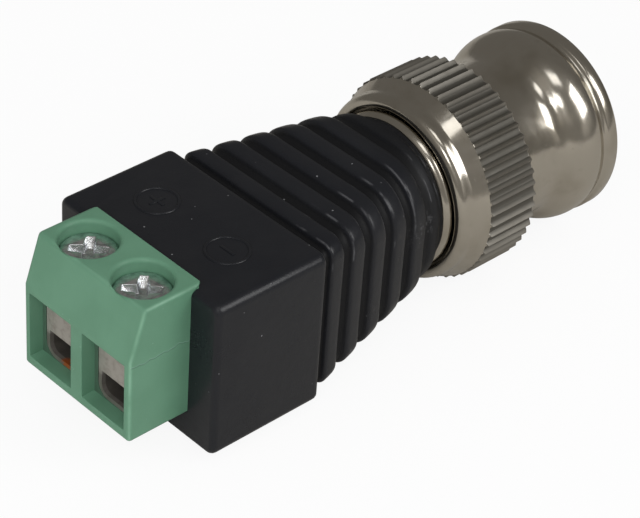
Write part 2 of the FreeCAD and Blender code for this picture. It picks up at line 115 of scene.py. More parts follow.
class Bench:
    """Modelling moves. Sizes come in millimetres, and each move works on one mesh."""

    @staticmethod
    def clear() -> None:
        """Go to object mode with nothing selected."""
        if bpy.context.object is not None and bpy.context.object.mode != "OBJECT":
            bpy.ops.object.mode_set(mode="OBJECT")
        bpy.ops.object.select_all(action="DESELECT")

    @staticmethod
    def take(piece: bpy.types.Object) -> None:
        """Select one piece alone and make it active.

        Args:
            piece: The piece.
        """
        Bench.clear()
        piece.select_set(True)
        bpy.context.view_layer.objects.active = piece

    @staticmethod
    def settle(piece: bpy.types.Object, name: str | None = None) -> bpy.types.Object:
        """Name a piece, where a name is given, and put its place, turn and scale into its mesh.

        Args:
            piece: The piece.
            name: The name of the piece and of its mesh.

        Returns:
            The piece, selected alone.
        """
        if name is not None:
            piece.name = piece.data.name = name
        Bench.take(piece)
        bpy.ops.object.transform_apply(location=True, rotation=True, scale=True)
        return piece

    @staticmethod
    def spin(piece: bpy.types.Object, angle_deg: float) -> bpy.types.Object:
        """Turn a piece about the plug's axis."""
        piece.rotation_euler = (math.radians(angle_deg), 0, 0)
        return Bench.settle(piece)

    @staticmethod
    def edit(kind: str = "VERT") -> None:
        """Go to edit mode with everything selected.

        Args:
            kind: What can be selected: points, edges or faces.
        """
        bpy.ops.object.mode_set(mode="EDIT")
        bpy.ops.mesh.select_mode(type=kind)
        bpy.ops.mesh.select_all(action="SELECT")

    @staticmethod
    def pick(piece: bpy.types.Object, wanted: Callable[[int, Vector], bool]) -> None:
        """Select the points of a piece in edit mode that pass a test.

        Args:
            piece: The piece.
            wanted: Test of a point's number and of its place in mm.
        """
        bpy.ops.mesh.select_mode(type="VERT")
        bpy.ops.mesh.select_all(action="DESELECT")
        mesh = bmesh.from_edit_mesh(piece.data)
        for number, point in enumerate(mesh.verts):
            if wanted(number, point.co / MM):
                point.select_set(True)
        mesh.select_flush(True)
        bmesh.update_edit_mesh(piece.data)

    @staticmethod
    def pull(way: Sequence[float]) -> None:
        """Extrude what is selected along a way in metres."""
        bpy.ops.mesh.extrude_region_move(TRANSFORM_OT_translate={"value": way})

    @staticmethod
    def close() -> None:
        """Merge points that coincide, turn the faces outwards and leave edit mode."""
        bpy.ops.mesh.select_all(action="SELECT")
        bpy.ops.mesh.remove_doubles(threshold=WELD * MM)
        bpy.ops.mesh.normals_make_consistent(inside=False)
        bpy.ops.object.mode_set(mode="OBJECT")

    @staticmethod
    def turn(name: str, outline: Sequence[Point], steps: int, stand: Point | None = None,
             ring: bool = True) -> bpy.types.Object:
        """Turn a half section about the plug's axis or an upright one, as on a lathe.

        Args:
            name: The piece's name.
            outline: Corners (along, radius) of the half section in mm.
            steps: Divisions round the axis.
            stand: Place (x, y) of an upright axis in mm.
            ring: Whether the section closes on itself; if not, its two ends are faces.

        Returns:
            The turned piece.
        """
        Bench.clear()
        along, radius = outline[0]
        bpy.ops.mesh.primitive_circle_add(
            vertices=steps, radius=radius * MM, fill_type="NOTHING" if ring else "NGON",
            location=(along * MM, 0, 0), rotation=(0, math.pi / 2, 0))
        piece = Bench.settle(bpy.context.active_object, name)
        Bench.edit("VERT" if ring else "FACE")
        corners = [*outline, outline[0]] if ring else outline
        for (x0, r0), (x1, r1) in zip(corners, corners[1:]):
            Bench.pull(((x1 - x0) * MM, 0, 0))
            if abs(r1 - r0) > 1e-9:
                bpy.ops.transform.resize(value=(1, r1 / r0, r1 / r0), center_override=(x1 * MM, 0, 0))
        Bench.close()
        if stand is not None:
            piece.rotation_euler = (0, -math.pi / 2, 0)
            piece.location = (stand[0] * MM, stand[1] * MM, 0)
            Bench.settle(piece)
        return piece

    @staticmethod
    def push(name: str, corners: Sequence[Place], along: Place) -> bpy.types.Object:
        """Draw a closed outline point by point, fill it and push it into a prism.

        Args:
            name: The piece's name.
            corners: The outline's corners in mm.
            along: How far and which way the face is pushed, in mm.

        Returns:
            The prism.
        """
        Bench.clear()
        places = [Vector(c) * MM for c in corners]
        bpy.ops.mesh.primitive_plane_add(size=MM, location=places[0])
        piece = Bench.settle(bpy.context.active_object, name)
        Bench.edit()
        bpy.ops.mesh.merge(type="CENTER")
        for here, there in zip(places, places[1:]):
            Bench.pull(there - here)
        bpy.ops.mesh.select_all(action="SELECT")
        bpy.ops.mesh.edge_face_add()
        bpy.ops.mesh.select_mode(type="FACE")
        bpy.ops.mesh.select_all(action="SELECT")
        Bench.pull(Vector(along) * MM)
        Bench.close()
        return piece

    @staticmethod
    def block(name: str, low: Place, high: Place) -> bpy.types.Object:
        """Make a plain block between two corners, as a cutter.

        Args:
            name: The block's name.
            low: The corner with the smallest numbers, in mm.
            high: The corner with the largest numbers, in mm.

        Returns:
            The block.
        """
        x0, y0, z0 = low
        x1, y1, z1 = high
        return Bench.push(name, [(x0, y0, z0), (x1, y0, z0), (x1, y1, z0), (x0, y1, z0)], (0, 0, z1 - z0))

    @staticmethod
    def change(piece: bpy.types.Object, kind: str, **settings: Any) -> None:
        """Apply one modifier.

        Args:
            piece: The piece.
            kind: The modifier's type.
            settings: Its settings.
        """
        Bench.take(piece)
        bpy.ops.object.modifier_add(type=kind)
        modifier = piece.modifiers[-1]
        for key, value in settings.items():
            setattr(modifier, key, value)
        bpy.ops.object.modifier_apply(modifier=modifier.name)

    @staticmethod
    def cut(piece: bpy.types.Object, cutter: bpy.types.Object) -> None:
        """Cut one mesh out of another and throw the cutter away."""
        Bench.change(piece, "BOOLEAN", operation="DIFFERENCE", solver="EXACT", object=cutter)
        bpy.data.objects.remove(cutter, do_unlink=True)

    @staticmethod
    def soften(piece: bpy.types.Object, width: float, segments: int, angle_deg: float) -> None:
        """Round the edges that are sharper than an angle, by a width in mm and in some segments."""
        Bench.change(piece, "BEVEL", width=width * MM, segments=segments, limit_method="ANGLE",
                     angle_limit=math.radians(angle_deg), use_clamp_overlap=False)

    @staticmethod
    def smooth(piece: bpy.types.Object, angle_deg: float = 40.0) -> None:
        """Shade a piece smooth below an angle."""
        Bench.take(piece)
        bpy.ops.object.shade_smooth_by_angle(angle=math.radians(angle_deg))

    @staticmethod
    def twin(piece: bpy.types.Object, name: str, across: float) -> bpy.types.Object:
        """Copy a piece, with a mesh of its own.

        Args:
            piece: The first piece.
            name: The copy's name.
            across: The way across the adapter from the first to the copy, in mm.

        Returns:
            The copy.
        """
        Bench.take(piece)
        bpy.ops.object.duplicate(linked=False)
        copy = bpy.context.active_object
        copy.location.y = across * MM
        return Bench.settle(copy, name)


def bow(a: Point, b: Point, bulge: float, steps: int) -> list[Point]:
    """Points of a shallow bow from a up to b, without b itself.

    Args:
        a: Start (along, radius).
        b: End (along, radius).
        bulge: Height of the bow, away from the axis where positive.
        steps: Number of flats.

    Returns:
        The points (along, radius).
    """
    run, rise = b[0] - a[0], b[1] - a[1]
    chord = math.hypot(run, rise)
    points = []
    for i in range(steps):
        share = i / steps
        height = 4 * bulge * share * (1 - share) / chord
        points.append((a[0] + share * run - rise * height, a[1] + share * rise + run * height))
    return points


def rounded(outline: Sequence[Point], radius: float, steps: int = 3) -> list[Point]:
    """Round every corner of a closed outline.

    Args:
        outline: Corners (along, radius).
        radius: Reach of each rounding along its two sides.
        steps: Flats in each rounding.

    Returns:
        The rounded outline.
    """
    result = []
    for i, corner in enumerate(outline):
        here = Vector(corner)
        start = here + (Vector(outline[i - 1]) - here).normalized() * radius
        end = here + (Vector(outline[(i + 1) % len(outline)]) - here).normalized() * radius
        for t in (j / steps for j in range(steps + 1)):
            result.append(tuple(start * (1 - t) ** 2 + here * (2 * t * (1 - t)) + end * t ** 2))
    return result


def about(x: float, radius: float, steps: Iterable[Point]) -> list[Point]:
    """Points of an outline that are given as steps (along, radius) from one corner."""
    return [(x + along, radius + out) for along, out in steps]


# Shader expressions

def arithmetic(operation: str, swapped: bool = False) -> Callable[..., "Wire"]:
    """Make a method of Wire that adds one Math node.

    Args:
        operation: The node's operation.
        swapped: Whether the other number comes first.

    Returns:
        The method.
    """
    def method(wire: "Wire", other: "Wire | float | None" = None) -> "Wire":
        """Add the node between the number and the other one."""
        pair = (other, wire) if swapped else (wire, other)
        return wire.desk.maths(operation, *pair)
    return method


class Wire:
    """A number that varies over a surface, with arithmetic that adds Math nodes."""

    __add__ = __radd__ = arithmetic("ADD")
    __sub__ = arithmetic("SUBTRACT")
    __rsub__ = arithmetic("SUBTRACT", swapped=True)
    __mul__ = __rmul__ = arithmetic("MULTIPLY")
    __truediv__ = arithmetic("DIVIDE")
    size = arithmetic("ABSOLUTE")
    most = arithmetic("MAXIMUM")
    wrapped = arithmetic("FRACT")
    root = arithmetic("SQRT")

    def __init__(self, desk: "Desk", socket: bpy.types.NodeSocket) -> None:
        """Wrap a node's output."""
        self.desk = desk
        self.socket = socket

    def above(self, low: float, high: float) -> "Wire":
        """Smooth step from 0 at low to 1 at high.

        Args:
            low: Where the step starts.
            high: Where the step ends.

        Returns:
            The step.
        """
        values = {"Value": self, "From Min": low, "From Max": high}
        ranged = self.desk.node("ShaderNodeMapRange", values, interpolation_type="SMOOTHSTEP")
        return Wire(self.desk, ranged.outputs["Result"])

    def below(self, low: float, high: float) -> "Wire":
        """Smooth step from 1 at low to 0 at high."""
        return 1.0 - self.above(low, high)


class Desk:
    """Builds the nodes of one material, or of the world."""

    def __init__(self, name: str, world: bool = False) -> None:
        """Start an empty material or world.

        Args:
            name: Its name.
            world: Whether it is the world.
        """
        self.owner = (bpy.data.worlds if world else bpy.data.materials).new(name)
        self.owner.use_nodes = True
        self.tree = self.owner.node_tree
        self.tree.nodes.clear()

    def node(self, kind: str, values: dict[str | int, Any] | None = None, **settings: Any) -> bpy.types.Node:
        """Add a node.

        Args:
            kind: The node's type.
            values: Values or links of its input sockets.
            settings: Its settings.

        Returns:
            The node.
        """
        node = self.tree.nodes.new(kind)
        for key, value in settings.items():
            setattr(node, key, value)
        for key, value in (values or {}).items():
            self.feed(node.inputs[key], value)
        return node

    def feed(self, socket: bpy.types.NodeSocket, value: Any) -> None:
        """Link an output to a socket, or set the socket's own value.

        Args:
            socket: The input socket.
            value: A number, a colour, a vector or an output.
        """
        if isinstance(value, Wire):
            value = value.socket
        if isinstance(value, bpy.types.NodeSocket):
            self.tree.links.new(value, socket)
        elif socket.type == "RGBA" and len(value) == 3:
            socket.default_value = (*value, 1.0)
        else:
            socket.default_value = value

    def maths(self, operation: str, a: "Wire | float", b: "Wire | float | None" = None) -> Wire:
        """Add a Math node."""
        values = {0: a} if b is None else {0: a, 1: b}
        return Wire(self, self.node("ShaderNodeMath", values, operation=operation).outputs[0])

    def blend(self, share: "Wire | float", a: Any, b: Any) -> bpy.types.NodeSocket:
        """Mix two colours by a share."""
        return self.node("ShaderNodeMix", {0: share, 6: a, 7: b}, data_type="RGBA").outputs[2]

    def place(self) -> bpy.types.NodeSocket:
        """Place on the piece in mm."""
        metres = self.node("ShaderNodeTexCoord").outputs["Object"]
        return self.node("ShaderNodeVectorMath", {0: metres, "Scale": 1 / MM}, operation="SCALE").outputs[0]

    def parts(self, vector: bpy.types.NodeSocket) -> list[Wire]:
        """The three numbers of a vector."""
        return [Wire(self, number) for number in self.node("ShaderNodeSeparateXYZ", {0: vector}).outputs]

    def joined(self, x: Any, y: Any, z: Any) -> bpy.types.NodeSocket:
        """A vector of three numbers."""
        return self.node("ShaderNodeCombineXYZ", {0: x, 1: y, 2: z}).outputs[0]

    def noise(self, vector: bpy.types.NodeSocket, scale: float, detail: float = 3.0,
              rough: float = 0.5) -> Wire:
        """Soft noise of about 0 to 1."""
        values = {"Vector": vector, "Scale": scale, "Detail": detail, "Roughness": rough}
        return Wire(self, self.node("ShaderNodeTexNoise", values).outputs["Fac"])

    def specks(self, vector: bpy.types.NodeSocket, scale: float) -> Wire:
        """Distance to the nearest of many scattered points."""
        scattered = self.node("ShaderNodeTexVoronoi", {"Vector": vector, "Scale": scale})
        return Wire(self, scattered.outputs["Distance"])

    def near(self, vector: bpy.types.NodeSocket, point: Place) -> Wire:
        """Distance in mm from a point on the piece."""
        distance = self.node("ShaderNodeVectorMath", {0: vector, 1: point}, operation="DISTANCE")
        return Wire(self, distance.outputs["Value"])

    def finish(self, colour: Any, roughness: Wire, layers: Sequence[tuple[Wire, float]],
               extra: dict[str, float] | None = None) -> bpy.types.Material:
        """End the material with its relief and its surface shader.

        Args:
            colour: The surface's colour.
            roughness: Its roughness.
            layers: Height from 0 to 1 and depth in mm of each layer of relief, the finest first.
            extra: Other values of the shader.

        Returns:
            The material.
        """
        values = {"Base Color": colour, "Roughness": roughness, **(extra or {})}
        for height, depth_mm in layers:
            layer = {"Height": height, "Strength": 1.0, "Distance": depth_mm * MM}
            if "Normal" in values:
                layer["Normal"] = values["Normal"]
            values["Normal"] = self.node("ShaderNodeBump", layer).outputs[0]
        surface = self.node("ShaderNodeBsdfPrincipled", values)
        self.node("ShaderNodeOutputMaterial", {"Surface": surface.outputs[0]})
        return self.owner


# Finishes

@dataclass(frozen=True)
class GreenMoulding:
    """Satin green plastic of the terminal housing."""

    colour: Colour = (0.112, 0.246, 0.159)
    shade: Colour = (0.099, 0.223, 0.142)
    parting: Colour = (0.25, 0.42, 0.33)
    parting_shade: Colour = (0.05, 0.12, 0.08)
    parting_height: float = 1.40
    dust: Colour = (0.40, 0.52, 0.45)
    # Painted highlight colour for the rounded outer edges
    edges: Colour = (0.30, 0.50, 0.37)
    edge_reach: Point = (0.04, 0.20)
    # Painted shade on the chamber wall beside each window: its colour and the strip's extent
    window_shade: Colour = (0.030, 0.045, 0.032)
    gap_half: float = 4.62
    gap_bottom: float = -3.70
    gap_top: float = 1.40
    roughness: float = 0.42
    specular: float = 0.35
    slot: str = "green_plastic"

    def edge(self, x: Wire, y: Wire, z: Wire) -> Wire:
        """Where the housing's rounded outer edges are.

        Args:
            x: Place along the adapter in mm.
            y: Place across it in mm.
            z: Height in mm.

        Returns:
            A share of 1 on the edges and 0 elsewhere.
        """
        run, rise = SLOPE_HEAD - HOUSING_FRONT, HOUSING_TOP - SLOPE_FOOT
        length = math.hypot(run, rise)
        ahead = x - HOUSING_FRONT
        side = (HOUSING_HALF - y.size()).below(*self.edge_reach)
        front = ahead.below(*self.edge_reach)
        slope = (ahead * (rise / length) - (z - SLOPE_FOOT) * (run / length)).below(*self.edge_reach)
        top = (HOUSING_TOP - z).below(*self.edge_reach)
        return (side * front.most(slope).most(top)).most(slope * top * 0.2)

    def build(self) -> bpy.types.Material:
        """Satin grain, faint flow clouds, painted highlights on the rounded edges, the mould's parting line
        on the sides with painted shade under it, and painted shade on the wall behind each window.

        Returns:
            The material.
        """
        desk = Desk("green_moulding")
        place = desk.place()
        x, y, z = desk.parts(place)
        clouds = desk.noise(place, 0.35, 4.0, 0.55)
        grain = desk.noise(place, 9.0, 4.0, 0.6)
        ripple = desk.noise(desk.joined(x, 0.0, 0.0), 1.1, 1.0)
        over_line = z - (self.parting_height + (ripple - 0.5) * 0.75)
        on_side = y.size().above(HOUSING_HALF - 0.10, HOUSING_HALF - 0.04)
        line = over_line.size().below(0.015, 0.06) * on_side
        under_line = (over_line + 0.06).size().below(0.01, 0.09) * on_side
        specks = desk.specks(place, 1.3).below(0.03, 0.07) * desk.noise(place, 0.5).above(0.5, 0.6)
        # Painted highlight: the rounded outer edges are lightened in colour, broken up by the clouds
        edge = self.edge(x, y, z) * clouds.above(0.25, 0.6)
        # Painted shade: the chamber's front wall, where it shows beside each window, is darkened
        behind = x.above(CHAMBER_FRONT - 0.07, CHAMBER_FRONT + 0.01)
        behind = behind * y.size().below(self.gap_half, self.gap_half + 0.04)
        behind = behind * z.below(self.gap_top, self.gap_top + 0.10)
        behind = behind * z.above(self.gap_bottom, self.gap_bottom + 0.04)
        colour = desk.blend(clouds.above(0.3, 0.7), self.shade, self.colour)
        colour = desk.blend(line * 0.5, colour, self.parting)
        # Painted shade along the underside of the parting line
        colour = desk.blend(under_line * 0.3, colour, self.parting_shade)
        colour = desk.blend(specks * 0.35, colour, self.dust)
        colour = desk.blend(edge * 0.55, colour, self.edges)
        colour = desk.blend(behind * 0.7, colour, self.window_shade)
        layers = [(grain, 0.004), (line * 0.6 - under_line * 0.4, 0.03)]
        roughness = self.roughness + (grain - 0.5) * 0.12
        return desk.finish(colour, roughness, layers, {"Specular IOR Level": self.specular})


@dataclass(frozen=True)
class BlackMoulding:
    """Satin black plastic of the moulded body, lightly scuffed and dusty."""

    colour: Colour = (0.0084, 0.0092, 0.0120)
    worn: Colour = (0.0130, 0.0136, 0.0162)
    # Painted shade colour for the groove floors and the last rib
    painted_shade: Colour = (0.0022, 0.0024, 0.0032)
    # Dust colour, also used for the painted glints on the rib edges
    dust: Colour = (0.22, 0.22, 0.23)
    ribs_start: float = -27.20
    ribs_end: float = -15.90
    scuff: Place = (-16.9, -5.3, 1.2)
    roughness: float = 0.31
    specular: float = 0.38
    slot: str = "black_plastic"

    def build(self) -> bpy.types.Material:
        """Fine grain, faint clouds, painted shade in the grooves and on the last rib, dust, painted glints
        along the rib edges at the upper lit corner and one scuff on the last ribs.

        Returns:
            The material.
        """
        desk = Desk("black_moulding")
        place = desk.place()
        x, y, z = desk.parts(place)
        clouds = desk.noise(place, 0.30, 4.0, 0.6)
        grain = desk.noise(place, 7.0, 5.0, 0.65)
        dots = desk.specks(place, 0.95).below(0.035, 0.075) * desk.noise(place, 0.8, 1.0).above(0.50, 0.58)
        turns = (x - FIRST_GROOVE) / GROOVE_PITCH + 0.5
        from_groove = (turns.wrapped() - 0.5).size() * GROOVE_PITCH
        # Painted glint: thin lighter lines along the rib edges, only at the upper corner on the lit side
        rib_glint = (from_groove - 0.50).size().below(0.02, 0.07)
        rib_glint = rib_glint * x.above(self.ribs_start - 0.10, self.ribs_start)
        rib_glint = rib_glint * z.above(1.2, 2.6) * y.below(-3.6, -2.6)
        rib_glint = rib_glint * desk.noise(place, 0.8, 2.0).above(0.44, 0.60)
        # Painted shade: the groove floors between the ribs are darkened
        groove = from_groove.below(0.30, 0.48) * x.above(self.ribs_start, self.ribs_start + 0.10)
        groove = groove * x.below(self.ribs_end, self.ribs_end + 0.10)
        # Painted shade: the last rib towards the nut is darkened as well
        groove = groove.most(x.above(-18.0, -15.6) * 0.7)
        scuff = desk.near(place, self.scuff).below(0.5, 1.7)
        scuff = scuff * desk.noise(place, 3.2, 4.0, 0.7).above(0.52, 0.62)
        # Dust dots, painted rib glints and the scuff, lightened together towards the dust colour
        dust_scuffs_and_glints = dots.most(rib_glint * 0.30).most(scuff * 0.35)
        colour = desk.blend(clouds.above(0.35, 0.75) * 0.5, self.colour, self.worn)
        colour = desk.blend(groove * 0.8, colour, self.painted_shade)
        colour = desk.blend(dust_scuffs_and_glints * 0.8, colour, self.dust)
        roughness = self.roughness + (grain - 0.5) * 0.15 + (clouds - 0.5) * 0.15 + groove * 0.30
        layers = [(grain, 0.005), (desk.noise(place, 0.9, 2.0), 0.02), (dust_scuffs_and_glints, 0.02)]
        return desk.finish(colour, roughness, layers, {"Specular IOR Level": self.specular})


@dataclass(frozen=True)
class NickelPlate:
    """Bright nickel over turned metal, warm grey, with the fine rings that the tool left."""

    colour: Colour = (0.58, 0.545, 0.48)
    tarnish_and_reflection: Colour = (0.40, 0.36, 0.29)
    pit: Colour = (0.12, 0.10, 0.08)
    knurl: Colour = (0.235, 0.226, 0.204)
    knurl_valley_shade: Colour = (0.13, 0.125, 0.110)
    roughness: float = 0.17
    slot: str = "nickel_plate"

    def build(self) -> bpy.types.Material:
        """Turning rings, broad darker patches that are partly tarnish and partly painted reflection, small
        pits, a duller knurl and painted shade between its teeth.

        Returns:
            The material.
        """
        desk = Desk("nickel_plate")
        place = desk.place()
        x, y, z = desk.parts(place)
        radius = (y * y + z * z).root()
        rings = desk.noise(desk.joined(x * 9.0, radius * 9.0, 0.0), 1.0, 3.0, 0.7)
        broad = desk.noise(place, 0.22, 3.0, 0.55)
        blotch = desk.noise(place, 1.1, 4.0, 0.6)
        pits = desk.specks(place, 1.7).below(0.03, 0.07) * desk.noise(place, 0.9).above(0.52, 0.60)
        band = x.above(KNURL_REAR - 0.02, KNURL_REAR + 0.04) * x.below(KNURL_FRONT - 0.05, KNURL_FRONT + 0.01)
        band = band * radius.above(6.6, 6.7)
        # Broad darker patches: partly tarnish, partly painted reflection of a dark room
        colour = desk.blend(broad.above(0.42, 0.72) * 0.65, self.colour, self.tarnish_and_reflection)
        colour = desk.blend(blotch.above(0.55, 0.75) * 0.25, colour, self.tarnish_and_reflection)
        colour = desk.blend(pits * 0.5, colour, self.pit)
        colour = desk.blend(band * 0.75, colour, self.knurl)
        # Painted shade in the valleys between the knurl's teeth
        colour = desk.blend(band * radius.below(6.98, 7.18) * 0.70, colour, self.knurl_valley_shade)
        roughness = self.roughness + (blotch - 0.5) * 0.18 + pits * 0.2 + band * 0.42
        layers = [(rings, 0.0015), (desk.noise(place, 0.6, 2.0), 0.02), (1.0 - pits, 0.01)]
        return desk.finish(colour, roughness, layers, {"Metallic": 1.0})


@dataclass(frozen=True)
class Sheet:
    """Metal of a strip, wire or screw: one colour, drawn or rolled lines, and worn spots."""

    name: str
    slot: str
    colour: Colour
    worn: Colour
    roughness: float
    grain: Place = (2.0, 14.0, 14.0)
    relief_mm: float = 0.004
    metallic: float = 1.0
    rough_swing: float = 0.25
    # Painted shade: where the strip is darkened inside the housing, and the shade's colour
    shade_from: float | None = None
    inside: Colour = (0.05, 0.044, 0.036)
    spot: Place | None = None
    spot_colour: Colour = (0.42, 0.11, 0.03)

    def build(self) -> bpy.types.Material:
        """Lines along the strip, wear in patches, painted shade inside the housing and towards the bottom,
        and a stained spot where there is one.

        Returns:
            The material.
        """
        desk = Desk(self.name)
        place = desk.place()
        x, y, z = desk.parts(place)
        stretched = desk.joined(x * self.grain[0], y * self.grain[1], z * self.grain[2])
        lines = desk.noise(stretched, 1.0, 3.0, 0.6)
        patches = desk.noise(place, 1.6, 4.0, 0.6)
        scars = desk.noise(place, 5.5, 4.0, 0.75)
        colour = desk.blend(patches.above(0.42, 0.68) * 0.8, self.colour, self.worn)
        # Painted shade inside the housing, and towards the bottom of the cage
        if self.shade_from is not None:
            inside = x.above(self.shade_from, self.shade_from + 0.1) * 0.85
            colour = desk.blend(inside.most(z.below(-2.05, -1.80) * 0.55), colour, self.inside)
        if self.spot is not None:
            stain = desk.near(place, self.spot).below(0.30, 0.62)
            stain = stain * desk.noise(place, 4.0, 3.0).above(0.30, 0.46)
            colour = desk.blend(stain, colour, self.spot_colour)
        roughness = self.roughness + (patches - 0.5) * self.rough_swing
        layers = [(lines, self.relief_mm * 0.4), (scars, self.relief_mm)]
        return desk.finish(colour, roughness, layers, {"Metallic": self.metallic})


@dataclass(frozen=True)
class SoftPlain:
    """Rubber, wire covering or natural insulator: one tone with a fine skin."""

    name: str
    slot: str
    colour: Colour
    shade: Colour
    roughness: float
    skin_mm: float = 0.01

    def build(self) -> bpy.types.Material:
        """Cloudy tone and a fine skin.

        Returns:
            The material.
        """
        desk = Desk(self.name)
        place = desk.place()
        colour = desk.blend(desk.noise(place, 0.9, 4.0, 0.6).above(0.3, 0.7), self.colour, self.shade)
        skin = desk.noise(place, 8.0, 4.0, 0.6)
        return desk.finish(colour, self.roughness + (skin - 0.5) * 0.15, [(skin, self.skin_mm)])


@dataclass(frozen=True)
class Finishes:
    """All finishes of the adapter, built once each."""

    made: dict[str, bpy.types.Material] = field(default_factory=dict)

    def build(self) -> None:
        """Build every finish and keep it under its slot's name."""
        finishes = [
            GreenMoulding(),
            BlackMoulding(),
            NickelPlate(),
            Sheet("plated_strip", "plated_steel", (0.40, 0.37, 0.335), (0.28, 0.25, 0.22), 0.40,
                  (10.0, 2.0, 10.0), metallic=0.5, shade_from=-39.25, spot=(-39.42, 2.25, -3.32)),
            Sheet("bright_zinc", "zinc_screw", (0.82, 0.84, 0.86), (0.40, 0.42, 0.44), 0.16, (6.0, 6.0, 6.0),
                  relief_mm=0.026, rough_swing=0.40),
            Sheet("tinned_strip", "tinned_brass", (0.62, 0.57, 0.48), (0.48, 0.42, 0.33), 0.30,
                  shade_from=-39.25),
            Sheet("gold_flash", "gold_pin", (0.80, 0.60, 0.28), (0.66, 0.47, 0.20), 0.22, (14.0, 2.0, 2.0)),
            Sheet("spring_strip", "spring_steel", (0.42, 0.41, 0.39), (0.30, 0.29, 0.27), 0.26),
            Sheet("copper_strands", "bare_copper", (0.72, 0.36, 0.22), (0.52, 0.24, 0.13), 0.34),
            SoftPlain("white_insulator", "white_insulator", (0.78, 0.78, 0.75), (0.70, 0.70, 0.66), 0.42),
            SoftPlain("gasket_rubber", "gasket_rubber", (0.020, 0.020, 0.021), (0.032, 0.032, 0.033), 0.62),
            SoftPlain("red_covering", "wire_insulation", (0.42, 0.02, 0.015), (0.33, 0.016, 0.012), 0.38),
        ]
        for finish in finishes:
            self.made[finish.slot] = finish.build()
        log.info("finishes: %d built", len(self.made))

    def carry_over(self, frame: dict[str, Any]) -> None:
        """Give every node of the frame its finish through its material slots.

        Args:
            frame: The loaded frame.
        """
        slots = {part["node"]: part["material_slot"] for part in frame["record"]["subparts"]}
        for name, node in frame["nodes"].items():
            for place in node.material_slots:
                place.material = self.made[slots[name]]
        log.info("finishes: given to %d nodes", len(frame["nodes"]))

    def dress(self, piece: bpy.types.Object, slot: str, body: str, node: str | None = None) -> None:
        """Give a new piece its finish and its body, and report it.

        Args:
            piece: The piece.
            slot: The finish's slot.
            body: The body that the piece moves with.
            node: The solid that the piece stands for, if it stands for one.
        """
        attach(piece, body)
        if node is not None:
            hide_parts(node)
        piece.data.materials.clear()
        piece.data.materials.append(self.made[slot])
        log.info("%s: %d faces", piece.name, len(piece.data.polygons))


# Sub-assemblies

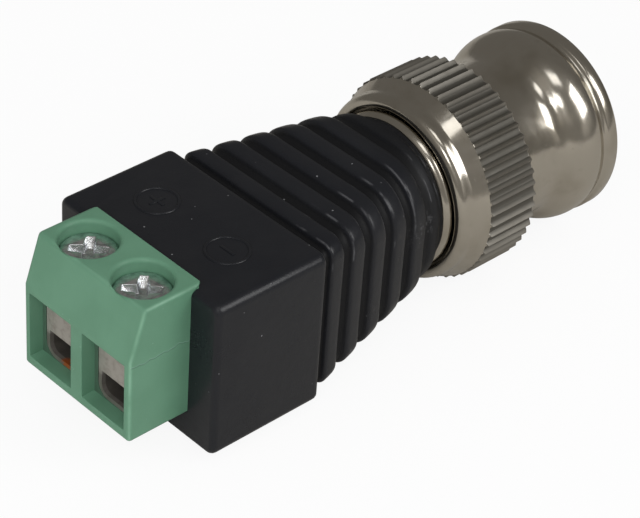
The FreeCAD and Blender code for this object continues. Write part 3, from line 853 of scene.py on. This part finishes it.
@dataclass
class CouplingNut:
    """Turned bayonet nut: flared drum, neck, straight knurl and tapered rear, with slots in its bore."""

    finishes: Finishes
    front: float = 1.0
    rim_radius: float = 6.87
    rim_step: tuple[Point, ...] = (
        (-0.86, 0.0), (-0.92, -0.03), (-0.97, -0.09), (-1.02, -0.17), (-1.08, -0.225), (-1.16, -0.25),
        (-1.28, -0.235), (-1.42, -0.19), (-1.56, -0.14), (-1.68, -0.10),
    )
    crest: Point = (-0.80, 6.80)
    foot: Point = (-2.90, 6.14)
    drum_bulge: float = 0.24
    heel_bulge: float = -0.10
    flare_rear: float = -3.90
    neck_radius: float = 5.65
    knurl_radius: float = 7.25
    root_radius: float = 6.95
    tooth_count: int = 54
    tooth_steps: int = 8
    slack: float = 0.004
    tooth_sink: tuple[tuple[int, float], ...] = ((1, 0.40), (2, 0.86), (3, 1.0), (4, 1.0))
    tooth_nose: tuple[Point, ...] = ((0.0, -0.15), (0.04, -0.05), (0.12, 0.0), (0.5, 0.0))
    cone: tuple[Point, ...] = (
        (-11.77, 7.08), (-12.66, 6.63), (-12.73, 6.60), (-12.82, 6.575), (-13.00, 6.565), (-13.18, 6.555),
    )
    roll_centre: Point = (-13.22, 5.95)
    roll: Point = (0.66, 0.605)
    roll_steps: int = 8
    rear: float = -13.88
    mouth_radius: float = 5.70
    collar_rear: float = -12.50
    collar_front: float = -11.20
    collar_radius: float = 4.45
    bore_radius: float = 4.87
    slot_radius: float = 5.60
    slot_width: float = 2.20
    seat_depth: float = 2.0
    seat_radius: float = 1.2
    slot_turn_deg: float = 80.0
    ramp_steps: int = 16

    def outline(self) -> list[Point]:
        """Half section of the blank, from the front edge of the bore rearwards along the outside.

        Returns:
            The corners (along, radius) in mm.
        """
        neck = (self.flare_rear, self.neck_radius)
        points = about(self.front, self.bore_radius, ((-0.10, 0.0), (-0.03, 0.03), (0.0, 0.11)))
        points += about(self.front, self.rim_radius, ((0.0, -0.16), (-0.05, -0.05), (-0.17, 0.0)))
        points += [*about(self.front, self.rim_radius, self.rim_step), self.crest]
        points += reversed(bow(self.foot, self.crest, self.drum_bulge, 10))
        points += reversed(bow(neck, self.foot, self.heel_bulge, 6))
        points += about(*neck, ((-0.25, -0.02),))
        points += about(KNURL_FRONT, self.neck_radius, (
            (0.30, -0.02), (0.10, 0.02), (0.02, 0.12), (0.0, 0.30)))
        points += about(KNURL_FRONT, self.root_radius, ((0.0, -0.08),))
        points += about(KNURL_FRONT, self.knurl_radius, [(-back, drop) for back, drop in self.tooth_nose])
        points += about(KNURL_REAR, self.knurl_radius, reversed(self.tooth_nose))
        points += self.cone
        for i in range(1, self.roll_steps + 1):
            angle = math.pi / 2 * i / self.roll_steps
            step = (-self.roll[0] * math.sin(angle), self.roll[1] * math.cos(angle))
            points += about(*self.roll_centre, (step,))
        points += about(self.rear, self.mouth_radius, (
            (0.0, 0.18), (0.03, 0.11), (0.10, 0.055), (0.22, 0.015), (0.36, 0.0)))
        points += [
            (self.collar_rear, self.mouth_radius), (self.collar_rear, self.collar_radius),
            (self.collar_front, self.collar_radius), (self.collar_front, self.bore_radius),
        ]
        return points

    def cut_knurl(self, nut: bpy.types.Object) -> None:
        """Draw the knurled band in between its teeth, one flank line at a time.

        Args:
            nut: The blank.
        """
        depth = self.knurl_radius - self.root_radius
        steps = self.tooth_count * self.tooth_steps

        def wanted(_: int, p: Vector) -> bool:
            """Whether a point is on the present line of a tooth, at the present radius of the band.

            Args:
                _: The point's number, not used.
                p: Its place in mm.

            Returns:
                Whether it is.
            """
            inside = KNURL_REAR - self.slack < p.x < KNURL_FRONT + self.slack
            if not inside or abs(math.hypot(p.y, p.z) - level) > self.slack:
                return False
            place = round(math.atan2(p.z, p.y) / (2 * math.pi) * steps) % self.tooth_steps
            return min(place, self.tooth_steps - place) == line

        for line, share in self.tooth_sink:
            floor = self.knurl_radius - depth * share
            for level in [self.knurl_radius + drop for _, drop in self.tooth_nose[:3]]:
                if level > floor:
                    Bench.pick(nut, wanted)
                    ratio = floor / level
                    bpy.ops.transform.resize(value=(1, ratio, ratio), center_override=(0, 0, 0))

    def slot_cutters(self) -> list[bpy.types.Object]:
        """Cutters of one bayonet slot, the one whose seat is at the bottom.

        Returns:
            The cutters of its ramp, its open mouth and its seat.
        """
        half = self.slot_width / 2
        inside = self.bore_radius - half
        Bench.clear()
        bpy.ops.mesh.primitive_plane_add(
            size=1, location=(-self.seat_depth * MM, 0, -(inside + self.slot_radius) / 2 * MM),
            rotation=(math.pi / 2, 0, 0))
        ramp = bpy.context.active_object
        ramp.scale = (self.slot_width * MM, (self.slot_radius - inside) * MM, 1)
        Bench.settle(ramp, "ramp")
        Bench.edit("FACE")
        for _ in range(self.ramp_steps):
            Bench.pull((self.seat_depth / self.ramp_steps * MM, 0, 0))
            bpy.ops.transform.rotate(
                value=-math.radians(self.slot_turn_deg) / self.ramp_steps, orient_axis="X",
                center_override=(0, 0, 0))
        Bench.close()
        mouth = Bench.block("mouth", (-half, -half, -self.slot_radius), (self.front + OVERRUN, half, -inside))
        seat = Bench.turn("seat", [(-self.slot_radius, self.seat_radius), (-inside, self.seat_radius)], 48,
                          (-self.seat_depth, 0), ring=False)
        return [ramp, Bench.spin(mouth, self.slot_turn_deg), seat]

    def build(self) -> None:
        """Turn the blank, cut the slots in its bore, roll the knurl and dress the nut."""
        nut = Bench.turn("bayonet_nut", self.outline(), self.tooth_count * self.tooth_steps)
        for half_turn in (0, 180):
            for cutter in self.slot_cutters():
                Bench.cut(nut, Bench.spin(cutter, half_turn))
        Bench.take(nut)
        Bench.edit()
        self.cut_knurl(nut)
        Bench.smooth(nut, 28)
        self.finishes.dress(nut, "nickel_plate", "nut", "coupling_nut")


@dataclass
class PlugCore:
    """What stands in the nut: turned body, slotted contact, pin, insulator and gasket."""

    finishes: Finishes
    steps: int = 128
    barrel: float = 4.35
    ring_groove: Place = (-9.60, -9.00, 3.95)
    bead: float = 5.58
    bead_profile: tuple[Point, ...] = (
        (0.0, -0.46), (0.05, -0.30), (0.15, -0.17), (0.29, -0.08), (0.44, -0.03), (0.58, 0.0), (0.74, -0.02),
        (0.90, -0.06), (1.90, -0.06),
    )
    bore: float = 3.30
    contact_foot: float = 3.80
    contact_foot_rear: float = -8.50
    body_front: float = -6.90
    contact_shoulder: float = -5.95
    contact: float = 4.05
    insulator_front: float = -5.30
    face_groove: Section = (1.4, 1.5, 2.5, 2.6)
    face_depth: float = 0.12
    gasket_front: float = -6.0
    gasket_radius: float = 4.77
    gasket_round: float = 0.2
    pin: float = 0.675
    pin_tip: Point = (0.45, 0.28)
    pin_shank: float = 1.0
    slot_width: float = 0.4
    slot_end: float = -4.75

    def body(self) -> bpy.types.Object:
        """Turned body with the round bead that shows in the nut's mouth.

        Returns:
            The body.
        """
        groove_rear, groove_front, floor = self.ring_groove
        return Bench.turn("turned_body", [
            (TAIL_REAR, self.bore), (TAIL_REAR, TAIL_RADIUS), (BODY_END, TAIL_RADIUS),
            *about(BODY_END, self.bead, self.bead_profile),
            (BODY_END + self.bead_profile[-1][0], self.barrel),
            (groove_rear, self.barrel), (groove_rear, floor),
            (groove_front, floor), (groove_front, self.barrel),
            (self.body_front, self.barrel), (self.body_front, self.contact_foot),
            (self.contact_foot_rear, self.contact_foot), (self.contact_foot_rear, self.bore),
        ], self.steps)

    def sleeve(self) -> bpy.types.Object:
        """Outer contact: a sleeve with a rounded nose, slotted into springy fingers.

        Returns:
            The sleeve.
        """
        shoulder = self.contact_shoulder
        sleeve = Bench.turn("slotted_sleeve", [
            (self.contact_foot_rear, self.bore), (self.contact_foot_rear, self.contact_foot),
            (shoulder, self.contact_foot), *about(shoulder, self.contact, ((0.0, -0.04), (0.04, 0.0))),
            *about(0.0, self.contact, ((-0.02, 0.0), (0.10, -0.04), (0.20, -0.13), (0.25, -0.25))),
            *about(0.0, self.bore, ((0.25, 0.10), (0.20, 0.03), (0.12, 0.0))),
        ], self.steps)
        half = self.slot_width / 2
        for quarter in range(4):
            slit = Bench.block("slit", (self.slot_end, -half, 1.0), (1.0, half, self.contact + OVERRUN))
            Bench.cut(sleeve, Bench.spin(slit, 45 + 90 * quarter))
        return sleeve

    def centre(self) -> bpy.types.Object:
        """Centre pin with a tapered nose, on its thicker shank.

        Returns:
            The pin.
        """
        return Bench.turn("contact_pin", [
            (TAIL_REAR, self.pin_shank), (self.insulator_front, self.pin_shank),
            (self.insulator_front, self.pin), (0.0, self.pin), (0.10, self.pin - 0.05),
            *about(*self.pin_tip, ((-0.07, 0.06), (-0.02, -0.03), (0.0, -0.14))),
        ], 64, ring=False)

    def insulator(self) -> bpy.types.Object:
        """Insulator round the pin's shank, with a shallow ring sunk in its face.

        Returns:
            The insulator.
        """
        shank, bore, rear, front = self.pin_shank, self.bore, self.contact_foot_rear, self.insulator_front
        inner, inner_floor, outer_floor, outer = self.face_groove
        floor = front - self.face_depth
        return Bench.turn("front_dielectric", [
            (rear, shank), (rear, bore), (front, bore), (front, outer), (floor, outer_floor),
            (floor, inner_floor), (front, inner), (front, shank),
        ], self.steps)

    def gasket(self) -> bpy.types.Object:
        """Rubber ring in front of the body.

        Returns:
            The gasket.
        """
        rear, front, inner, outer = self.body_front, self.gasket_front, self.contact_foot, self.gasket_radius
        corners = [(rear, inner), (rear, outer), (front, outer), (front, inner)]
        return Bench.turn("seal_ring", rounded(corners, self.gasket_round), self.steps)

    def build(self) -> None:
        """Make and dress the five pieces."""
        for piece, node, slot in (
            (self.insulator(), "front_insulator", "white_insulator"),
            (self.gasket(), "front_gasket", "gasket_rubber"),
            (self.body(), "plug_body", "nickel_plate"),
            (self.sleeve(), "outer_contact", "nickel_plate"),
            (self.centre(), "centre_pin", "gold_pin"),
        ):
            Bench.smooth(piece, 32)
            self.finishes.dress(piece, slot, "adapter", node)


@dataclass
class MouldedBody:
    """Black body: a box at the terminal that goes through six grooves to a round end."""

    finishes: Finishes
    box: Section = (7.50, -6.50, 4.95, 0.65)
    box_nose: tuple[Point, ...] = ((0.0, 0.35), (0.05, 0.22), (0.14, 0.11), (0.28, 0.03), (0.45, 0.0))
    last_groove: float = -16.25
    first: Section = (6.69, -5.89, 4.26, 0.41)
    last: Section = (5.48, -5.05, 4.99, 3.41)
    last_rib: Section = (5.63, -5.38, 5.38, 4.30)
    depth: float = 0.42
    flank: tuple[Point, ...] = (
        (0.88, 1.0), (0.68, 0.985), (0.57, 0.94), (0.50, 0.86), (0.45, 0.73), (0.40, 0.50), (0.35, 0.25),
        (0.29, 0.07), (0.20, 0.0),
    )
    end_radius: float = 5.40
    end_slope: tuple[Point, ...] = ((0.72, 0.12), (0.60, 0.40), (0.48, 0.72), (0.36, 0.94), (0.24, 1.0))
    end_edge: tuple[Point, ...] = ((0.10, 0.01), (0.04, 0.04), (0.0, 0.10))
    corner_steps: int = 12
    side_flat: float = 0.003
    ring_x: float = -31.5
    ring_y: float = 3.3
    ring_radius: float = 1.5
    ring_width: float = 0.24
    ring_rise: float = 0.08
    sign_half_width: float = 0.11
    sign_reach: float = 0.62
    sign_rise: float = 0.05
    sign_edge: float = 0.03
    sunk: float = 0.05

    def ring(self, x: float, size: Section, proud: float = 0.0) -> bpy.types.Object:
        """One round-cornered outline across the axis.

        Args:
            x: Place along the axis in mm.
            size: Half width, bottom, top and corner radius in mm.
            proud: How far the outline stands out from that size in mm.

        Returns:
            The outline as a loop of edges.
        """
        half_width, bottom, top, corner = size
        bpy.ops.mesh.primitive_plane_add(
            size=1, location=(x * MM, 0, (top + bottom) / 2 * MM), rotation=(0, math.pi / 2, 0))
        loop = bpy.context.active_object
        loop.scale = ((top - bottom + 2 * proud) * MM, 2 * (half_width + proud) * MM, 1)
        Bench.settle(loop)
        Bench.edit()
        bpy.ops.mesh.bevel(
            offset=(corner + proud) * MM, affect="VERTICES", segments=self.corner_steps, profile=0.5,
            clamp_overlap=False)
        bpy.ops.mesh.select_all(action="SELECT")
        bpy.ops.mesh.delete(type="ONLY_FACE")
        bpy.ops.object.mode_set(mode="OBJECT")
        return loop

    @staticmethod
    def mixed(a: Section, b: Section, share: float) -> Section:
        """An outline's size between two others."""
        return tuple(here + share * (there - here) for here, there in zip(a, b))

    def circle(self, radius: float) -> Section:
        """A circle, given as an outline whose corners take nearly all of its sides."""
        return (radius, -radius, radius, radius - self.side_flat)

    def rib_side(self, groove: float, side: int) -> list[bpy.types.Object]:
        """Outlines of one flank of a groove, from front to rear.

        Args:
            groove: The groove's middle along the axis in mm.
            side: 1 for the flank behind the groove, -1 for the one before it.

        Returns:
            The outlines.
        """
        loops = []
        for reach, share in self.flank[::-side]:
            x = groove + side * reach
            run = min(max((x - FIRST_GROOVE) / (self.last_groove - FIRST_GROOVE), 0.0), 1.0)
            loops.append(self.ring(x, self.mixed(self.first, self.last, run), self.depth * share))
        return loops

    def rings(self) -> list[bpy.types.Object]:
        """All outlines of the body, from its front round to the floor of the hole in its rear end.

        Returns:
            The outlines in order.
        """
        half_width, bottom, top, corner = self.box
        round_end = self.circle(self.end_radius)
        loops = []
        for step, inset in self.box_nose:
            size = (half_width - inset, bottom + inset, top - inset, corner - inset)
            loops.append(self.ring(BOX_FRONT + step, size))
        for back, share in self.flank:
            loops.append(self.ring(FIRST_GROOVE - back, self.mixed(self.first, self.box, share)))
        groove = FIRST_GROOVE
        while groove < self.last_groove - GROOVE_PITCH / 2:
            loops += self.rib_side(groove, 1)
            groove += GROOVE_PITCH
            loops += self.rib_side(groove, -1)
        for ahead, share in reversed(self.flank):
            loops.append(self.ring(groove + ahead, self.mixed(self.last, self.last_rib, share)))
        for back, share in self.end_slope:
            loops.append(self.ring(BODY_END - back, self.mixed(self.last_rib, round_end, share)))
        for back, inset in self.end_edge:
            loops.append(self.ring(BODY_END - back, self.circle(self.end_radius - inset)))
        for x in (BODY_END, TAIL_REAR):
            loops.append(self.ring(x, self.circle(TAIL_RADIUS)))
        return loops

    def shell(self) -> bpy.types.Object:
        """Bridge the outlines into one closed skin and open the pocket for the housing.

        Returns:
            The body.
        """
        Bench.clear()
        loops = self.rings()
        body, last = loops[0], len(loops) - 1
        Bench.take(body)
        for loop in loops:
            loop.select_set(True)
        bpy.ops.object.join()
        body.name = body.data.name = "ribbed_body"
        count = 4 * (self.corner_steps + 1)
        Bench.edit()
        for i in range(last):
            Bench.pick(body, lambda number, _: i * count <= number < (i + 2) * count)
            bpy.ops.mesh.bridge_edge_loops()
        for i in (0, last):
            Bench.pick(body, lambda number, _: i * count <= number < (i + 1) * count)
            bpy.ops.mesh.edge_face_add()
        Bench.close()
        start, half = BOX_FRONT - OVERRUN, HOUSING_HALF
        for name, bottom, rear, top in (
            ("tenon", HOUSING_BOTTOM, HOUSING_REAR, TENON_TOP),
            ("under_lip", TENON_TOP - OVERRUN, BACKING, TENON_TOP + OVERRUN),
        ):
            Bench.cut(body, Bench.block(name, (start, -half, bottom), (rear, half, top)))
        Bench.smooth(body)
        return body

    def raised_ring(self) -> bpy.types.Object:
        """Raised ring on the top face, which frames a polarity sign.

        Returns:
            The ring, at the right pole.
        """
        top, rise = self.box[2], self.ring_rise
        outer, inner = self.ring_radius, self.ring_radius - self.ring_width
        outline = about(top, outer, ((-self.sunk, 0.0), (0.0, 0.0), (rise - 0.012, -0.055), (rise, -0.085)))
        outline += about(top, inner, ((rise, 0.085), (rise - 0.012, 0.055), (0.0, 0.0), (-self.sunk, 0.0)))
        ring = Bench.turn("minus_ring", outline, 72, (self.ring_x, -self.ring_y))
        Bench.smooth(ring)
        return ring

    def sign(self, name: str, y: float, crossed: bool) -> bpy.types.Object:
        """Raised sign of a pole: a bar across the adapter, or a cross.

        Args:
            name: The sign's name.
            y: Its middle across the adapter in mm.
            crossed: Whether a second bar crosses the first.

        Returns:
            The sign.
        """
        half, reach = self.sign_half_width, self.sign_reach
        outline = [(-half, -reach), (half, -reach), (half, reach), (-half, reach)]
        if crossed:
            outline = [
                (-half, -reach), (half, -reach), (half, -half), (reach, -half), (reach, half), (half, half),
                (half, reach), (-half, reach), (-half, half), (-reach, half), (-reach, -half), (-half, -half),
            ]
        corners = [(self.ring_x + u, y + v, self.box[2] - self.sunk) for u, v in outline]
        sign = Bench.push(name, corners, (0, 0, self.sunk + self.sign_rise))
        Bench.soften(sign, self.sign_edge, 2, 30.0)
        Bench.smooth(sign)
        return sign

    def build(self) -> None:
        """Make and dress the body with its two rings and signs."""
        self.finishes.dress(self.shell(), "black_plastic", "adapter", "overmould_body")
        ring = self.raised_ring()
        for piece in (
            ring,
            Bench.twin(ring, "plus_ring", 2 * self.ring_y),
            self.sign("minus_sign", -self.ring_y, False),
            self.sign("plus_sign", self.ring_y, True),
        ):
            self.finishes.dress(piece, "black_plastic", "adapter")


@dataclass
class Terminal:
    """Green housing with its windows, chambers and screw wells."""

    finishes: Finishes
    lip: float = -34.84
    window_half: float = 2.015
    window_bottom: float = -3.62
    window_top: float = 1.31
    chamber_rear: float = -35.60
    chamber_half: float = 1.73
    chamber_corner: float = 1.05
    chamber_overlap: float = 0.001
    corner_steps: int = 8
    roof: float = 3.10
    ledge: float = 3.45
    hole_radius: float = 1.33
    well_radius: float = 1.89
    lip_reach: float = 0.28
    lip_steps: int = 6
    tail_half: float = 0.5
    tail_bottom: float = -1.5
    tail_top: float = -1.0
    edge: float = 0.28
    fine_edge: float = 0.05
    breaks: tuple[float, ...] = (-3.72, -1.38, 1.38, 3.72)
    flat_weight: int = 95

    def blank(self) -> bpy.types.Object:
        """Side outline pushed across, with soft edges.

        Returns:
            The blank.
        """
        side = -HOUSING_HALF
        share = (BACKING - BOX_FRONT) / (self.lip - BOX_FRONT)
        under_lip = TENON_TOP + share * (HOUSING_TOP - TENON_TOP)
        corners = [
            (HOUSING_FRONT, HOUSING_BOTTOM), (HOUSING_FRONT, SLOPE_FOOT), (SLOPE_HEAD, HOUSING_TOP),
            (self.lip, HOUSING_TOP), (BACKING, under_lip), (BACKING, TENON_TOP),
            (HOUSING_REAR, TENON_TOP), (HOUSING_REAR, HOUSING_BOTTOM),
        ]
        blank = Bench.push("terminal_block", [(x, side, z) for x, z in corners], (0, 2 * HOUSING_HALF, 0))
        Bench.soften(blank, self.edge, 4, 20.0)
        return blank

    def chamber(self, y: float) -> bpy.types.Object:
        """Cutter of the cage's chamber at one pole, with two round corners in its floor.

        Args:
            y: The pole's place across the adapter in mm.

        Returns:
            The cutter.
        """
        front, half, corner = CHAMBER_FRONT - self.chamber_overlap, self.chamber_half, self.chamber_corner
        corners = [(front, y + half, self.roof), (front, y - half, self.roof)]
        for quarter, side in ((0, -1), (1, 1)):
            for i in range(self.corner_steps + 1):
                angle = math.pi / 2 * (i / self.corner_steps + quarter)
                corners.append((
                    front, y + side * (half - corner) - corner * math.cos(angle),
                    self.window_bottom + corner - corner * math.sin(angle)))
        return Bench.push("chamber", corners, (self.chamber_rear - front, 0, 0))

    def well(self, y: float) -> bpy.types.Object:
        """Cutter of one screw well, with the round lip at its top.

        Args:
            y: The pole's place across the adapter in mm.

        Returns:
            The cutter.
        """
        reach = self.lip_reach
        outline = [(self.ledge, self.well_radius)]
        for i in range(self.lip_steps + 1):
            angle = math.pi / 2 * i / self.lip_steps
            outline += about(HOUSING_TOP - reach, self.well_radius, (
                (reach * math.sin(angle), reach * (1 - math.cos(angle))),))
        outline.append((HOUSING_TOP + OVERRUN, outline[-1][1]))
        return Bench.turn("well", outline, 72, (SCREW_X, y), ring=False)

    def build(self) -> None:
        """Cut the openings of both poles into the blank, soften their edges and dress the housing."""
        housing = self.blank()
        hole = [(self.roof - OVERRUN, self.hole_radius), (self.ledge + OVERRUN, self.hole_radius)]
        for pole in Pole:
            y = pole.value
            for cutter in (
                Bench.block(
                    "window", (HOUSING_FRONT - OVERRUN, y - self.window_half, self.window_bottom),
                    (CHAMBER_FRONT, y + self.window_half, self.window_top)),
                self.chamber(y),
                Bench.turn("hole", hole, 48, (SCREW_X, y), ring=False),
                self.well(y),
                Bench.block(
                    "tail_slot", (self.chamber_rear - OVERRUN, y - self.tail_half, self.tail_bottom),
                    (HOUSING_REAR + OVERRUN, y + self.tail_half, self.tail_top)),
            ):
                Bench.cut(housing, cutter)
        Bench.soften(housing, self.fine_edge, 2, 50.0)
        Bench.take(housing)
        Bench.edit()
        for y in self.breaks:
            bpy.ops.mesh.select_all(action="SELECT")
            bpy.ops.mesh.bisect(plane_co=(0, y * MM, 0), plane_no=(0, 1, 0))
        Bench.smooth(housing)
        Bench.change(housing, "WEIGHTED_NORMAL", keep_sharp=True, weight=self.flat_weight)
        self.finishes.dress(housing, "green_plastic", "adapter", "terminal_housing")


@dataclass
class ClampScrews:
    """The two cross-head clamp screws."""

    finishes: Finishes
    head_top: float = 4.45
    head_bottom: float = 3.50
    head_radius: float = 1.82
    shank_radius: float = 1.25
    shank_end: float = -0.70
    thread_pitch: float = 0.60
    thread_start: float = 0.35
    thread_gap: float = 0.9
    thread_profile: tuple[Point, ...] = ((0.0, 0.0), (0.1, 0.0), (0.3, -0.17), (0.4, -0.17))
    edge: float = 0.035
    recess_half_width: float = 0.36
    recess_turn_deg: float = 45.0
    recess_half_length: float = 1.30
    recess_depth: float = 0.60
    recess_tip_share: float = 0.8
    recess_root_share: float = 1.15
    recess_over: float = 0.02
    recess_floor_share: float = 0.62

    def outline(self) -> list[Point]:
        """Half section from the point up through the thread to the domed edge of the head.

        Returns:
            The corners (height, radius) in mm.
        """
        points = about(self.shank_end, self.shank_radius, ((0.0, -0.25), (0.2, -0.05)))
        height = self.shank_end + self.thread_start
        while height < self.head_bottom - self.thread_gap:
            points += about(height, self.shank_radius, self.thread_profile)
            height += self.thread_pitch
        points += [(self.head_bottom, self.shank_radius - 0.1)]
        points += about(self.head_bottom, self.head_radius, ((0.0, -0.06), (0.06, 0.0)))
        points += about(self.head_top, self.head_radius, (
            (-0.20, 0.0), (-0.13, -0.02), (-0.07, -0.08), (-0.035, -0.22), (0.0, -0.60)))
        return points

    def recess(self, y: float) -> bpy.types.Object:
        """Cutter of the cross recess, which narrows towards its floor.

        Args:
            y: The pole's place across the adapter in mm.

        Returns:
            The cutter.
        """
        reach, over = self.recess_half_length, self.recess_over
        tip = self.recess_half_width * self.recess_tip_share
        root = self.recess_half_width * self.recess_root_share
        corners = []
        for turn in range(4):
            angle = math.pi / 2 * turn + math.radians(self.recess_turn_deg)
            for u, v in ((reach, -tip), (reach, tip), (root, root)):
                corners.append((
                    SCREW_X + u * math.cos(angle) - v * math.sin(angle),
                    y + u * math.sin(angle) + v * math.cos(angle), self.head_top + over))
        cutter = Bench.push("recess", corners, (0, 0, -self.recess_depth - over))
        Bench.take(cutter)
        Bench.edit()
        Bench.pick(cutter, lambda _, p: p.z < self.head_top - self.recess_depth / 2)
        narrow = self.recess_floor_share
        bpy.ops.transform.resize(value=(narrow, narrow, 1), center_override=(SCREW_X * MM, y * MM, 0))
        bpy.ops.object.mode_set(mode="OBJECT")
        return cutter

    def build(self) -> None:
        """Make one screw, copy it for the other pole and dress both."""
        y = Pole.RIGHT.value
        screw = Bench.turn("right_screw_piece", self.outline(), 96, (SCREW_X, y), ring=False)
        Bench.cut(screw, self.recess(y))
        Bench.soften(screw, self.edge, 2, 40.0)
        Bench.smooth(screw, 35)
        twin = Bench.twin(screw, "left_screw_piece", Pole.LEFT.value - y)
        for piece, pole in ((screw, Pole.RIGHT), (twin, Pole.LEFT)):
            self.finishes.dress(piece, "zinc_screw", pole.side + "_screw", pole.side + "_clamp_screw")


# Floor, light and camera

@dataclass(frozen=True)
class Lamp:
    """A soft panel: direction, distance, two sides in metres, power, and whether gloss mirrors it."""

    name: str
    azimuth_deg: float
    elevation_deg: float
    distance: float
    width: float
    height: float
    power: float
    mirrored: bool = True


@dataclass
class Studio:
    """White sweep, soft lamps and the camera of the photograph."""

    floor_z: float = -7.30
    floor_side_m: float = 3.0
    look: Place = (-21.3171, -1.1466, -1.6584)
    azimuth_deg: float = -45.4332
    elevation_deg: float = 36.4478
    roll_deg: float = 4.166
    distance: float = 161.3573
    focal_px: float = 2489.8956
    image_width_px: float = 640.0
    sensor_width: float = 36.0
    clip_m: Point = (0.002, 20.0)
    ambient: float = 0.42
    room_dark: Colour = (0.158, 0.150, 0.138)
    room_bright: Colour = (0.42, 0.40, 0.37)
    room_side: Place = (-0.366, -0.785, 0.50)
    patch_scale: float = 1.5
    white: Colour = (1.0, 1.0, 1.0)
    paper: Colour = (0.88, 0.88, 0.88)
    paper_in_gloss: Colour = (0.455, 0.435, 0.40)
    glow_share: float = 0.90
    lamps: tuple[Lamp, ...] = (
        Lamp("left_panel", -42.0, 36.0, 0.45, 0.24, 0.26, 0.61, False),
        Lamp("right_panel", 28.0, 38.0, 0.45, 0.20, 0.24, 0.60),
        Lamp("front_panel", -78.0, 17.0, 0.50, 0.50, 0.40, 1.05, False),
        Lamp("top_panel", -24.0, 73.0, 0.45, 0.16, 0.12, 0.10),
        Lamp("camera_side_panel", -46.0, 42.0, 0.45, 0.11, 0.10, 0.14),
    )

    @staticmethod
    def direction(azimuth_deg: float, elevation_deg: float) -> Vector:
        """Unit vector from the object; azimuth 0 is -Y and 90 is +X."""
        a, e = math.radians(azimuth_deg), math.radians(elevation_deg)
        return Vector((math.sin(a) * math.cos(e), -math.cos(a) * math.cos(e), math.sin(e)))

    def floor(self) -> None:
        """Large white floor that keeps the object's shadow, and is greyer where metal mirrors it."""
        Bench.clear()
        bpy.ops.mesh.primitive_grid_add(
            x_subdivisions=8, y_subdivisions=8, size=self.floor_side_m, location=(0, 0, self.floor_z * MM))
        floor = Bench.settle(bpy.context.active_object, "white_floor")
        desk = Desk("white_floor")
        rays = desk.node("ShaderNodeLightPath").outputs
        tone = desk.blend(rays["Is Glossy Ray"], self.paper, self.paper_in_gloss)
        paper = desk.node("ShaderNodeBsdfDiffuse", {"Color": tone})
        glow = desk.node("ShaderNodeEmission", {"Color": self.white, "Strength": 1.0})
        seen = Wire(desk, rays["Is Camera Ray"]) * self.glow_share
        mixed = desk.node("ShaderNodeMixShader", {0: seen, 1: paper.outputs[0], 2: glow.outputs[0]})
        desk.node("ShaderNodeOutputMaterial", {"Surface": mixed.outputs[0]})
        floor.data.materials.append(desk.owner)

    def world(self) -> None:
        """White for the camera, a room of light and dark parts for gloss, a soft light for the rest."""
        desk = Desk("white_room", world=True)
        bpy.context.scene.world = desk.owner
        rays = desk.node("ShaderNodeLightPath").outputs
        direction = desk.node("ShaderNodeTexCoord").outputs["Generated"]
        facing = desk.node("ShaderNodeVectorMath", {0: direction, 1: self.room_side}, operation="DOT_PRODUCT")
        front = Wire(desk, facing.outputs["Value"]).above(0.25, 0.85)
        patches = desk.noise(direction, self.patch_scale, 2.0).above(0.44, 0.62)
        room = desk.blend(front * (patches * 0.7 + 0.3), self.room_dark, self.room_bright)
        tone = desk.blend(rays["Is Glossy Ray"], (self.ambient,) * 3, room)
        tone = desk.blend(rays["Is Camera Ray"], tone, self.white)
        shade = desk.node("ShaderNodeBackground", {"Color": tone, "Strength": 1.0})
        desk.node("ShaderNodeOutputWorld", {"Surface": shade.outputs[0]})

    def light(self) -> None:
        """Hang the soft panels, each turned to the object."""
        target = Vector(self.look) * MM
        for panel in self.lamps:
            Bench.clear()
            way = self.direction(panel.azimuth_deg, panel.elevation_deg)
            bpy.ops.object.light_add(type="AREA", location=target + way * panel.distance)
            lamp = bpy.context.active_object
            lamp.name = panel.name
            lamp.data.shape = "RECTANGLE"
            lamp.data.size, lamp.data.size_y = panel.width, panel.height
            lamp.data.energy = panel.power
            lamp.visible_glossy = panel.mirrored
            lamp.rotation_euler = way.to_track_quat("Z", "Y").to_euler()

    def camera(self) -> None:
        """Set the camera at the photograph's viewing angle."""
        a, roll = math.radians(self.azimuth_deg), math.radians(self.roll_deg)
        back = self.direction(self.azimuth_deg, self.elevation_deg)
        right = Vector((math.cos(a), math.sin(a), 0))
        up = back.cross(right)
        across = math.cos(roll) * right + math.sin(roll) * up
        upward = -math.sin(roll) * right + math.cos(roll) * up
        place = (Vector(self.look) + back * self.distance) * MM
        bpy.ops.object.camera_add(location=place)
        camera = bpy.context.active_object
        camera.name = "photo_camera"
        camera.matrix_world = Matrix.Translation(place) @ Matrix((across, upward, back)).transposed().to_4x4()
        camera.data.sensor_fit = "HORIZONTAL"
        camera.data.sensor_width = self.sensor_width
        camera.data.lens = self.focal_px / self.image_width_px * self.sensor_width
        camera.data.clip_start, camera.data.clip_end = self.clip_m
        bpy.context.scene.camera = camera

    def build(self) -> None:
        """Set up floor, world, lamps, camera and colour view."""
        self.floor()
        self.world()
        self.light()
        self.camera()
        bpy.context.scene.view_settings.view_transform = "Standard"
        log.info("studio: floor, %d lamps and camera", len(self.lamps))


def main() -> None:
    """Load the frame, build every sub-assembly in order and report each piece."""
    logging.basicConfig(level=logging.INFO, format="%(name)s: %(message)s")
    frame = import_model()
    finishes = Finishes()
    finishes.build()
    finishes.carry_over(frame)
    Studio().build()
    for assembly in (Terminal, ClampScrews, MouldedBody, PlugCore, CouplingNut):
        assembly(finishes).build()


if __name__ == "__main__":
    main()
